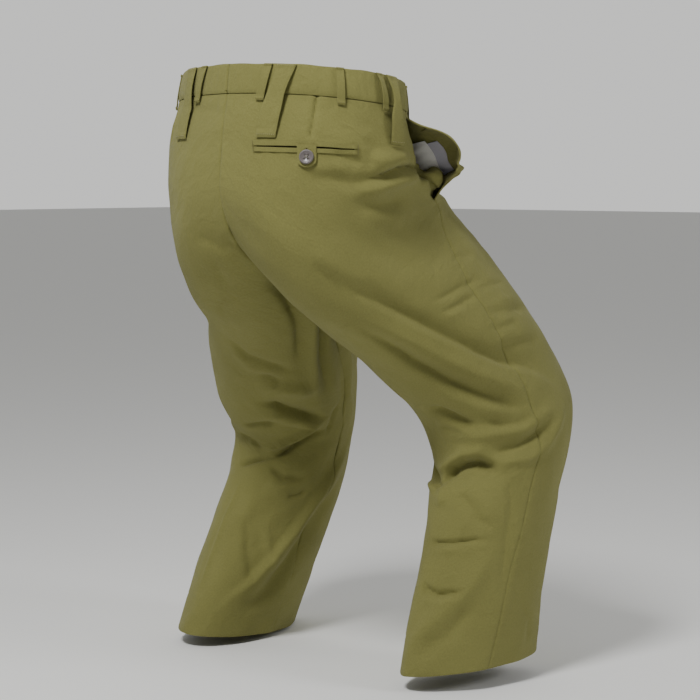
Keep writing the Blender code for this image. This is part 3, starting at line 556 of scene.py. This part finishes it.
def stitches(name, lines, material, seed, values=stitchValues):
    # lines is a list of point rows lying on the cloth
    vertices, edges = [], []
    for line in lines:
        start = len(vertices)
        vertices += [tuple(point) for point in line]
        edges += [(start + k, start + k + 1) for k in range(len(line) - 1)]
    mesh = bpy.data.meshes.new(name + " line")
    mesh.from_pydata(vertices, edges, [])
    path = addObject(name + " line", mesh)
    modifier = path.modifiers.new("stitch line", "NODES")
    modifier.node_group = stitchGroup
    for item in stitchGroup.interface.items_tree:
        if item.in_out == "INPUT" and item.name != "Geometry":
            given = {"Spacing": values["spacing"], "Stitch length": values["length"],
                     "Thread radius": values["radius"], "Thread": material, "Seed": seed}[item.name]
            modifier[item.identifier] = given
    bpy.context.view_layer.update()
    baked = bpy.data.meshes.new_from_object(path.evaluated_get(bpy.context.evaluated_depsgraph_get()))
    path.modifiers.remove(modifier)
    bpy.data.objects.remove(path)
    baked.name = name
    return addObject(name, baked)


def easing(x, low, high):
    t = np.clip((x - low) / (high - low), 0, 1)
    return t * t * (3 - 2 * t)


def edgeAngles(side, part, s, places):
    # ring angle at each distance from the side seam, and the distance left to the far seam;
    # negative places count back from the far seam
    ring = ringValues(side, s)
    seam = np.radians(ring["seam"])
    end = np.arccos(-np.clip(ring["closure"], 0, 1)) * (1 if part == "front" else -1)
    share = np.linspace(0, 1, 97)
    angle = seam[:, None] + (end - seam)[:, None] * share
    points = bodyPoint(side, np.repeat(s[:, None], 97, 1), angle)
    steps = np.linalg.norm(np.diff(points, axis=1), axis=2)
    length = np.concatenate([np.zeros((len(s), 1)), np.cumsum(steps, 1)], 1)
    mouth = np.sin(np.pi * mouthShare(s)) ** 0.6 * (0.0016 if part == "front" else 0)
    result = np.empty((len(s), len(places(1.0))))
    run = np.empty_like(result)
    for i in range(len(s)):
        first, last = garment["seamGap"] / 2 + mouth[i], length[i, -1] - garment["seamGap"] / 2
        run[i] = places(last - first)
        result[i] = np.interp(first + run[i], length[i], angle[i])
    return result, run, run[:, -1:] - run


def panelPlaces(total):
    near = np.array([0, 0.0005, 0.0012, 0.0021, 0.0034])
    return np.concatenate([near, np.linspace(0.0052, total - 0.0052, 112), total - near[::-1]])


# Back pocket's slit, welts and tab in metres; from, to and tab are angles in degrees.
pocket = {"slit": 0.0830, "from": -76.5, "to": -26.5, "proud": 0.0017, "thick": 0.0013, "tab": -51,
          "tabTop": 0.0800, "tabLong": 0.0262, "tabWide": 0.0235, "radius": 0.150}
panelHeights = np.unique(np.round(np.concatenate([
    [0.0160, 0.0186, 0.0196, 0.0203, 0.0210, 0.0218, 0.0230], np.linspace(0.025, 0.866, 306),
    [0.8668, 0.8676, garment["hemLine"]],
    pocket["slit"] + np.array([-0.003, -0.002, -0.0013, -0.0007, 0, 0.0007, 0.0013, 0.002, 0.003])]), 5))

darts = {"right": [[(0.022, -45), (0.050, -47.5), (0.076, -50)]],
         "left": [[(0.022, -45), (0.050, -47.5), (0.080, -50)]]}


def dartHeight(side, s, angle):
    total = np.zeros_like(s)
    for line in darts[side]:
        path = np.array(line, float)
        middle = np.radians(np.interp(s, path[:, 0], path[:, 1]))
        off = np.abs(angle - middle) * garment["hipRadius"]
        fade = 1 - easing(s, path[-1, 0] - 0.012, path[-1, 0])
        total += -0.0031 * fade * np.exp(-(off / 0.0024) ** 2)
        total += 0.0006 * fade * np.exp(-((off - 0.007) / 0.005) ** 2)
    return total


def panelLift(side, part, s, angle, first, last):
    # in order: seam's groove, tuck under the band, ridge beside the seam, its pucker,
    # ripple below the band, hem's stitch line and hem's edge
    edge = np.minimum(first, last)
    lift = -garment["seamDepth"] * (1 - 0.4 * easing(s, 0.56, 0.66)) * np.exp(-(edge / 0.0010) ** 2)
    lift -= 0.0030 * (1 - easing(s, 0.0190, 0.0212))
    lift += 0.0003 * easing(edge, 0.0015, 0.004) * (1 - easing(edge, 0.010, 0.015))
    pucker = np.sin(s * 2 * np.pi / 0.019 + 2.1 * np.sin(s * 61)) * np.exp(-(edge / 0.011) ** 2)
    lift += 0.00035 * pucker * easing(edge, 0.0005, 0.003)
    lift += 0.0002 * np.sin(angle * 62 + 2 * np.sin(angle * 17)) * np.exp(-((s - 0.026) / 0.009) ** 2)
    lift -= 0.00035 * np.exp(-((s - 0.828) / 0.0016) ** 2)
    lift -= 0.0006 * np.exp(-((s - garment["hemLine"]) / 0.0010) ** 2)
    if part == "back":
        lift += dartHeight(side, s, angle)
        if side == "right":
            begin, end = pocket["from"], pocket["to"]
            along = easing(angle, np.radians(begin), np.radians(begin + 6))
            along = along * (1 - easing(angle, np.radians(end - 6), np.radians(end)))
            lift -= 0.0045 * along * np.exp(-((s - pocket["slit"]) / 0.0012) ** 2)
            lift += 0.0012 * along * np.exp(-((s - pocket["slit"]) / 0.009) ** 2)
    return lift


def panel(side, part):
    s = panelHeights
    angle, first, last = edgeAngles(side, part, s, panelPlaces)
    grid = np.repeat(s[:, None], angle.shape[1], 1)
    lift = panelLift(side, part, grid, angle, first, last)
    wall = garment["wall"] + 0.0007 * easing(grid, 0.8275, 0.8285)
    outer = clothPoint(side, grid, angle, part, lift)
    inner = clothPoint(side, grid, angle, part, lift - wall)
    central = ringValues(side, s)["closure"] < 0.999
    outer[central, -1, 0] = 0.00005 * mirror[side]
    inner[central, -1, 0] = -0.0005 * mirror[side]
    return wallMesh("panel_" + part + "_" + side, outer, inner, twill, np.stack([first, grid], -1))


panels = {}
for side in ("right", "left"):
    for part in ("front", "back"):
        panels[part, side] = panel(side, part)
        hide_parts(part + "_" + side)
print("leg panels cut and shaped")

bandValues = {"overlap": 0.006, "underlap": 0.024, "pillow": 0.0009, "wave": 0.0009}
# Flat strip's cross-section: place across its width, and height as a share of its thickness.
sectionAcross = np.array([-0.5, -0.47, -0.3, 0, 0.3, 0.47, 0.5, 0.5, 0.47, 0, -0.47, -0.5])
sectionLift = np.array([0.7, 1, 1, 1, 1, 1, 0.7, 0.3, 0, 0, 0, 0.3])


def waistband(side):
    quarter, radius = np.radians(90), 0.175
    lastOne = quarter + (bandValues["underlap"] if side == "right" else bandValues["overlap"]) / radius
    firstOne = -quarter + 0.00015 / radius
    angle = np.concatenate([firstOne + np.array([0, 0.0004, 0.0009, 0.0016, 0.0026]) / radius,
                            np.linspace(firstOne + 0.0042 / radius, lastOne, 256)])[:, None]
    half, wall = garment["bandHalf"], garment["bandWall"]
    climb = np.linspace(half - 0.0002, -half + 0.0014, 12)
    turn = np.linspace(0, np.pi, 8)[1:-1]
    across = np.concatenate([climb, -half + 0.0012 - 0.0012 * np.sin(turn), climb[::-1]])
    rise = np.concatenate([np.zeros(12), -wall / 2 + wall / 2 * np.cos(turn), np.full(12, -wall)])
    outside = np.concatenate([np.ones(12), np.zeros(18)])
    pillow = bandValues["pillow"] * (1 - (across / half) ** 2) * outside
    tuck = -0.0009 * np.exp(-((across - half) / 0.0018) ** 2) * outside
    phase = 1.0 if side == "left" else 0
    wave = bandValues["wave"] * (np.sin(angle * 9 + 0.6) * 0.5 + np.sin(angle * 23 + phase) * 0.3)
    ripple = 0.00016 * np.sin(angle * 71 + 2 * np.sin(angle * 13)) * outside
    join = -0.0010 * np.exp(-((angle - firstOne) * radius / 0.0012) ** 2) * outside
    lift = garment["bandProud"] + rise + pillow + tuck + ripple + join
    if side == "right":
        lift = lift - easing(angle, quarter - 0.22, quarter - 0.06) * (wall + 0.0012)
    s = across + wave * np.clip((half - across) / (2 * half), 0, 1)
    return tubeMesh("band_" + side, waistPoint(side, s, angle, lift), twill)


bands = {}
for side in ("right", "left"):
    bands[side] = waistband(side)
    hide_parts("waistband_" + side)

# Belt loops: degrees from the centre back, slant, bow off the cloth, pinch of the middle, twist.
loopValues = {
    "right": [(22, -4, "narrow", 0.0024, 0.0, 0.0), (31, -11, "wide", 0.0040, 0.12, 0.06),
              (57, 0, "narrow", 0.0026, 0.0, 0.05), (80, 3, "narrow", 0.0050, 0.10, -0.20),
              (90, -2, "wide", 0.0075, 0.58, 0.25), (127, 0, "narrow", 0.0008, 0.0, 0.0)],
    "left": [(16, 3, "narrow", 0.0026, 0.0, 0.0), (28, -3, "wide", 0.0032, 0.14, -0.06),
             (57, 0, "narrow", 0.0003, 0.0, 0.0), (85, 0, "narrow", 0.0006, 0.0, 0.0),
             (95, -3, "wide", 0.0004, 0.10, 0.0), (127, 0, "narrow", 0.0008, 0.0, 0.0)],
}
loopSizes = {"narrow": (0.0110, 0.0480), "wide": (0.0250, 0.0920), "thick": 0.0014, "radius": 0.155}


def loopPoint(side, s, angle, lift):
    s, angle, lift = np.broadcast_arrays(s, angle, lift)
    upper = waistPoint(side, np.minimum(s, garment["waistLine"]), angle, lift)
    low = np.maximum(s, garment["waistLine"])
    lowerBack = clothPoint(side, low, angle, "back", lift)
    lowerFront = clothPoint(side, low, angle, "front", lift)
    lower = np.where((angle > np.radians(20))[..., None], lowerFront, lowerBack)
    return upper + (lower - upper) * easing(s, garment["waistLine"] - 0.003, garment["waistLine"] + 0.003)[..., None]


def beltLoop(side, number, values):
    fromBack, slant, kind, bow, pinch, twist = values
    width, length = loopSizes[kind]
    top = -garment["bandHalf"] + 0.0006
    t = np.linspace(0, 1, 56)[:, None]
    s = top + length * t
    middle = np.radians(-90 + fromBack) + np.radians(slant) * t
    narrowing = 1 - pinch * np.sin(np.pi * np.clip(t * 1.55, 0, 1)) ** 1.5
    across = sectionAcross * width * narrowing / loopSizes["radius"]
    arch = bow * np.sin(np.pi * t) ** 0.7
    tilt = twist * np.sin(np.pi * np.clip(t * 1.4, 0, 1)) * sectionAcross * width
    step = garment["bandProud"] + 0.0010 - easing(s, 0.014, 0.032) * 0.0008
    ends = 0.0010 * (np.exp(-((t - 0.02) / 0.03) ** 2) + np.exp(-((t - 0.96) / 0.04) ** 2))
    lift = (step + arch + tilt * (1 - pinch) + np.maximum(0, tilt.max() * 0.6) * np.sin(np.pi * t)
            + sectionLift * (loopSizes["thick"] + ends))
    loops = loopPoint(side, s + 0 * across, middle + across, lift)
    piece = tubeMesh("loop_" + side + "_" + str(number), loops, twill)
    lines = []
    for share in (0.045, 0.955) if kind == "narrow" else (0.022, 0.965):
        row = int(round(share * 55))
        span = np.linspace(-0.42, 0.42, 9)
        atS = top + length * share
        atAngle = np.radians(-90 + fromBack) + np.radians(slant) * share + span * width / loopSizes["radius"]
        height = lift[row, 3] + 0.0002
        lines.append(loopPoint(side, np.full(9, atS), atAngle, np.full(9, height)))
    # the paler thread on the wide loops is a painted highlight
    colourOfThread = highlightPaintedThread if kind == "wide" else thread
    sewn = stitches("loop_stitches_" + side + "_" + str(number), lines, colourOfThread, number)
    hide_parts("belt_loop_" + side + "_" + str(number))
    return piece, sewn


loops = {}
for side in ("right", "left"):
    for number, values in enumerate(loopValues[side], 1):
        loops[side, number] = beltLoop(side, number, values)
print("waistband and belt loops made")

# Inside the side pockets' mouths.
mouthValues = {"facing": {"right": (0.046, 0.158), "left": (0.072, 0.158)}, "facingWidth": 0.027,
               "lining": (0.066, 0.144), "liningFrom": 0.0255, "liningTo": 0.040,
               "bag": (0.060, 0.148), "bagFrom": 0.037, "bagTo": 0.074,
               "hipPanel": (0.0225, 0.176), "hipFrom": -0.006, "hipTo": 0.148}


def mouthSheet(name, side, shape, heights, rows, places, lift, wall, material):
    s = np.linspace(heights[0], heights[1], rows)
    angle, run, _ = edgeAngles(side, "front", s, lambda total: places)
    angle = angle + np.minimum(places, 0) / garment["hipRadius"]
    grid = np.repeat(s[:, None], len(places), 1)
    lift = lift(grid, angle, run)
    outer = clothPoint(side, grid, angle, shape, lift)
    inner = clothPoint(side, grid, angle, shape, lift - wall)
    return wallMesh(name, outer, inner, material, np.stack([run, grid], -1))


def crumple(side, s, run):
    # the side panel sags inwards and folds under the gaping mouth; calm on the closed left
    amount = 1.0 if side == "right" else 0.25
    pull = amount * easing(s, 0.03, 0.07) * (1 - easing(s, 0.15, 0.176))
    folds = (0.0032 * np.sin(230 * s + 46 * run) + 0.0022 * np.sin(-120 * s + 150 * run + 1.1)
             + 0.0013 * np.sin(410 * s + 90 * run + 2.0))
    roll = np.exp(-((s - 0.134) / 0.023) ** 2) * easing(run, 0.001, 0.018) * (1 - easing(run, 0.045, 0.080))
    start = -0.0017 - 0.0009 * easing(run, 0.001, 0.006)
    sag = pull * (0.0030 + folds * easing(run, 0.0, 0.03) * (1 - easing(run, 0.09, 0.13)))
    return start - sag + 0.019 * roll * (side == "right")


sidePanels, facings = {}, {}
for side in ("right", "left"):
    sidePanels[side] = mouthSheet("hip_panel_" + side, side, "back", mouthValues["hipPanel"], 90,
                                  np.linspace(mouthValues["hipFrom"], mouthValues["hipTo"], 84),
                                  lambda s, angle, run: crumple(side, s, run), 0.0009, twill)
    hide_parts("side_panel_" + side)
    # the facings use the darker twill copy, a painted shade
    facings[side] = mouthSheet("facing_" + side, side, "front", mouthValues["facing"][side], 70,
                               np.linspace(0.0004, mouthValues["facingWidth"], 12),
                               lambda s, angle, run: -0.0014 - 0.0002 * np.sin(s * 300), 0.0009, shadeDarkenedFacingTwill)
    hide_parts("pocket_facing_" + side)
lining = mouthSheet("lining_right", "right", "front", mouthValues["lining"], 60,
                    np.linspace(mouthValues["liningFrom"], mouthValues["liningTo"], 14),
                    lambda s, angle, run: -0.0026 - 0.0010 * easing(run, 0.032, 0.040), 0.0006, greyCloth)
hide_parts("pocket_lining_right")


def bagLift(s, angle, run):
    # the white bag hangs in shallow waves from the lining's edge
    loose = easing(run, 0.038, 0.054) * easing(s, 0.060, 0.080) * (1 - easing(s, 0.130, 0.148))
    return -0.0040 - loose * (0.0045 + 0.0026 * np.sin(s * 190 + 30 * run) + 0.0014 * np.sin(s * 420 - 60 * run))


bag = mouthSheet("bag_right", "right", "front", mouthValues["bag"], 60,
                 np.linspace(mouthValues["bagFrom"], mouthValues["bagTo"], 38), bagLift, 0.0006, pocketCloth)
print("pocket mouths made")


def weltLip(name, low, high, node):
    t = np.linspace(0, 1, 90)[:, None]
    across = (low + high) / 2 + sectionAcross * (high - low)
    angle = np.radians(pocket["from"] + (pocket["to"] - pocket["from"]) * t)
    ends = easing(t, 0, 0.03) * (1 - easing(t, 0.97, 1))
    lens = 0.0005 * np.sin(np.pi * t) * (-1 if node.endswith("upper") else 1)
    s = across + lens
    lift = pocket["proud"] - 0.0008 + sectionLift * pocket["thick"] * (0.6 + 0.4 * ends) + 0.0003 * np.sin(t * 40)
    piece = tubeMesh(name, clothPoint("right", s + 0 * angle, angle + 0 * s, "back", lift + 0 * s), twill)
    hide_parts(node)
    return piece


welts = [weltLip("welt_upper", 0.0770, 0.0824, "back_pocket_welt_upper"),
         weltLip("welt_lower", 0.0836, 0.0890, "back_pocket_welt_lower")]


def tabPiece():
    t = np.linspace(0, 1, 44)[:, None]
    s = pocket["tabTop"] + pocket["tabLong"] * t
    taper = np.sqrt(np.clip(1 - np.clip((t - 0.72) / 0.283, 0, 1) ** 2, 0.02, 1))
    angle = np.radians(pocket["tab"]) + sectionAcross * pocket["tabWide"] * taper / pocket["radius"]
    lift = 0.0027 - 0.0006 * t + sectionLift * 0.0012 + 0.0005 * np.sin(np.pi * t)
    piece = tubeMesh("pocket_tab", clothPoint("right", s + 0 * angle, angle, "back", lift), twill)
    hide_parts("back_pocket_tab")
    return piece


tab = tabPiece()


def surfaceRow(side, points, part, lift, count=24):
    path = np.array(points, float)
    steps = np.hypot(np.diff(path[:, 0]), np.radians(np.diff(path[:, 1])) * garment["hipRadius"])
    along = np.concatenate([[0], np.cumsum(steps)])
    at = np.linspace(0, along[-1], count)
    return clothPoint(side, np.interp(at, along, path[:, 0]), np.radians(np.interp(at, along, path[:, 1])), part, lift)


def buttonPiece(name, node, centre, normal, radius, height):
    profile = [(0.0, 0.06), (0.62, 0.0), (0.90, 0.16), (1.0, 0.50), (0.98, 0.80), (0.90, 1.0), (0.80, 1.0),
               (0.72, 0.80), (0.66, 0.70), (0.0, 0.66)]
    turn = np.linspace(0, 2 * np.pi, 56, endpoint=False)
    rings = np.array([[(radius * max(share, 0.004) * np.cos(a), radius * max(share, 0.004) * np.sin(a),
                        height * level) for a in turn] for share, level in profile])
    place = Matrix.Translation(Vector(centre)) @ Vector(normal).to_track_quat("Z", "Y").to_matrix().to_4x4()
    piece = tubeMesh(name, rings, buttonFinish)
    cutters = []
    for k in range(4):
        corner = np.radians(45 + 90 * k)
        hole = np.array([[(radius * (0.30 * np.cos(corner) + 0.115 * np.cos(a)),
                           radius * (0.30 * np.sin(corner) + 0.115 * np.sin(a)), z * height) for a in turn[::3]]
                         for z in (-1, 2)])
        cutter = tubeMesh("hole", hole, slitShadowPaint)
        cutters.append(cutter)
        cut = piece.modifiers.new("hole", "BOOLEAN")
        cut.operation, cut.solver, cut.object = "DIFFERENCE", "EXACT", cutter
    bpy.context.view_layer.update()
    cutMesh = bpy.data.meshes.new_from_object(piece.evaluated_get(bpy.context.evaluated_depsgraph_get()))
    piece.modifiers.clear()
    piece.data = cutMesh
    for cutter in cutters:
        bpy.data.objects.remove(cutter)
    piece.data.transform(place)
    strands = []
    for k in range(2):
        corner = np.radians(45 + 90 * k)
        span = np.linspace(-1, 1, 17)
        row = np.stack([0.30 * radius * np.cos(corner) * span, 0.30 * radius * np.sin(corner) * span,
                        height * (0.62 + 0.34 * (1 - span**4)) + 0.0003 * k], -1)
        strands.append([place @ Vector(point) for point in row])
    sewn = stitches(name + "_thread", strands, buttonThread, 3, {"spacing": 0.0006, "length": 0.0013, "radius": 0.0004})
    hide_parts(node)
    return piece, sewn


low, high = clothPoint("right", np.array([0.0955, 0.0955]), np.radians([-51, -51]), "back", np.array([0.0042, 0.0142]))
backButton = buttonPiece("pocket_button", "back_pocket_button", low, high - low, 0.0097, 0.0034)
low = waistPoint("left", np.array([0.0]), np.array([np.pi / 2 - 0.07]), np.array([0.0023]))[0]
high = waistPoint("left", np.array([0.0]), np.array([np.pi / 2 - 0.07]), np.array([0.02]))[0]
waistButton = buttonPiece("front_button", "waist_button", low, high - low, 0.0075, 0.0034)

roundOnce = np.linspace(0, 2 * np.pi, 8, endpoint=False)
# Painted shadow: a near-black tube along the welt's slit.
slitPath = np.array([clothPoint("right", pocket["slit"] + 0.0009 * np.cos(a), np.radians(np.linspace(-75, -28, 60)),
                                "back", 0.0006 + 0.0004 * np.sin(a)) for a in roundOnce])
slit = tubeMesh("back_pocket_slit", slitPath.transpose(1, 0, 2), slitShadowPaint)
# Painted shadow: a near-black line down the buttonhole's cut.
holePath = np.array([clothPoint("right", np.linspace(0.0842, 0.0898, 20),
                                np.radians(pocket["tab"]) + 0.0004 / pocket["radius"] * np.cos(a),
                                "back", 0.0046 + 0.0003 * np.sin(a)) for a in roundOnce])
buttonhole = tubeMesh("tab_buttonhole", holePath.transpose(1, 0, 2), slitShadowPaint)
tabStitches = stitches("tab_buttonhole_stitches", [
    surfaceRow("right", [(0.0838, -51.5), (0.0900, -51.5)], "back", 0.0045),
    surfaceRow("right", [(0.0838, -50.5), (0.0900, -50.5)], "back", 0.0045)], thread, 5,
    {"spacing": 0.0006, "length": 0.0008, "radius": 0.0003})
weltStitches = stitches("welt_bar_tacks", [
    surfaceRow("right", [(0.0765, -76.7), (0.0895, -76.7)], "back", 0.0027),
    surfaceRow("right", [(0.0765, -26.3), (0.0895, -26.3)], "back", 0.0027)], thread, 6,
    {"spacing": 0.0008, "length": 0.0012, "radius": 0.00045})
print("back pocket made")


# Hidden front: the fly's lap with its one curved stitch line.
def flyLap():
    s = np.linspace(0.0225, 0.150, 90)
    width = 0.040 - 0.036 * easing(s, 0.100, 0.150) ** 1.4
    share = np.linspace(1, 0, 24)
    ring = ringValues("left", s)
    end = np.arccos(-np.clip(ring["closure"], 0, 1))
    angle = end[:, None] - 0.0006 - width[:, None] * share / (ring["outer"][:, None] * 1.02)
    grid = np.repeat(s[:, None], 24, 1)
    edge = np.minimum(1 - share, share) * width[:, None]
    lift = 0.0016 - 0.0010 * np.exp(-(edge / 0.0012) ** 2)
    outer = clothPoint("left", grid, angle, "front", lift)
    inner = clothPoint("left", grid, angle, "front", lift - 0.0011)
    piece = wallMesh("fly", outer, inner, twill, np.stack([share * width[:, None], grid], -1))
    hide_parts("fly_lap")
    return piece, outer[:, 2]


fly, flyLine = flyLap()
flyStitches = stitches("fly_stitches", [flyLine + np.array([0, -0.0004, 0])], thread, 9)

everyPiece = []
for key, piece in list(panels.items()) + list(bands.items()) + list(sidePanels.items()) + list(facings.items()):
    everyPiece.append(piece)
for piece, sewn in loops.values():
    everyPiece += [piece, sewn]
everyPiece += [lining, bag, *welts, tab, *backButton, *waistButton, slit, buttonhole, tabStitches,
               weltStitches, fly, flyStitches]
for piece in everyPiece:
    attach(piece, "root")


# Loop over both sides that does nothing.
for side in ("right", "left"):
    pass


# Floor, light and camera at the photograph's angle.
def plane(name, points, material):
    mesh = bpy.data.meshes.new(name)
    mesh.from_pydata(points, [], [(0, 1, 2, 3)])
    mesh.materials.append(material)
    return addObject(name, mesh)


floorHeight, floorReach = -0.799, 30
floor = plane("floor", [(x * floorReach, y * floorReach, floorHeight) for x, y in ((-1, -1), (1, -1), (1, 1), (-1, 1))],
              plainMaterial("pale studio floor", "#f2f2f0", 0.9, 0.1))  # near white


lights = {"key": {"place": (-0.30, 1.30, 1.55), "target": (0, 0, -0.25), "size": 0.6, "power": 46},
          "fill": {"place": (-2.8, -1.3, 1.0), "target": (0, 0, -0.4), "size": 1.1, "power": 25}}
for name, values in lights.items():
    lamp = bpy.data.lights.new(name, "AREA")
    lamp.shape = "DISK"
    lamp.size = values["size"]
    lamp.energy = values["power"]
    thing = addObject(name, lamp)
    thing.location = values["place"]
    aim = Vector(values["target"]) - Vector(values["place"])
    thing.rotation_euler = aim.to_track_quat("-Z", "Y").to_euler()

# Surround: brightest towards +X and -Y, the wearer's left and front, and darker the other way.
world = bpy.data.worlds.new("pale studio")
world.use_nodes = True
tree = world.node_tree
sky = tree.nodes["Background"]
sky.inputs["Color"].default_value = colour("#f6f6f4")  # near white surround
facing = tree.nodes.new("ShaderNodeTexCoord")
turn = addNode(tree, "ShaderNodeVectorMath", [(1, (0.80, -0.56, 0.20))], "DOT_PRODUCT")
bright = addNode(tree, "ShaderNodeMapRange", [("From Min", -0.1), ("From Max", 0.8),
                                              ("To Min", 0.16), ("To Max", 0.85)])
setLinks(tree, (facing.outputs["Generated"], turn.inputs[0]), (turn.outputs["Value"], bright.inputs["Value"]),
         (bright.outputs["Result"], sky.inputs["Strength"]))
bpy.context.scene.world = world

view = {"target": (-0.0575, -0.052, -0.35), "azimuth": 222, "elevation": 5, "distance": 2.76, "lens": 102.86}
lens = bpy.data.cameras.new("photo view")
lens.lens = view["lens"]
lens.sensor_width = 36
lens.clip_end = 60
camera = addObject("photo view", lens)
target = Vector(view["target"])
away, rise = np.radians(view["azimuth"]), np.radians(view["elevation"])
direction = Vector((np.sin(away) * np.cos(rise), -np.cos(away) * np.cos(rise), np.sin(rise)))
camera.location = target + view["distance"] * direction
camera.rotation_euler = (target - camera.location).to_track_quat("-Z", "Y").to_euler()
bpy.context.scene.camera = camera
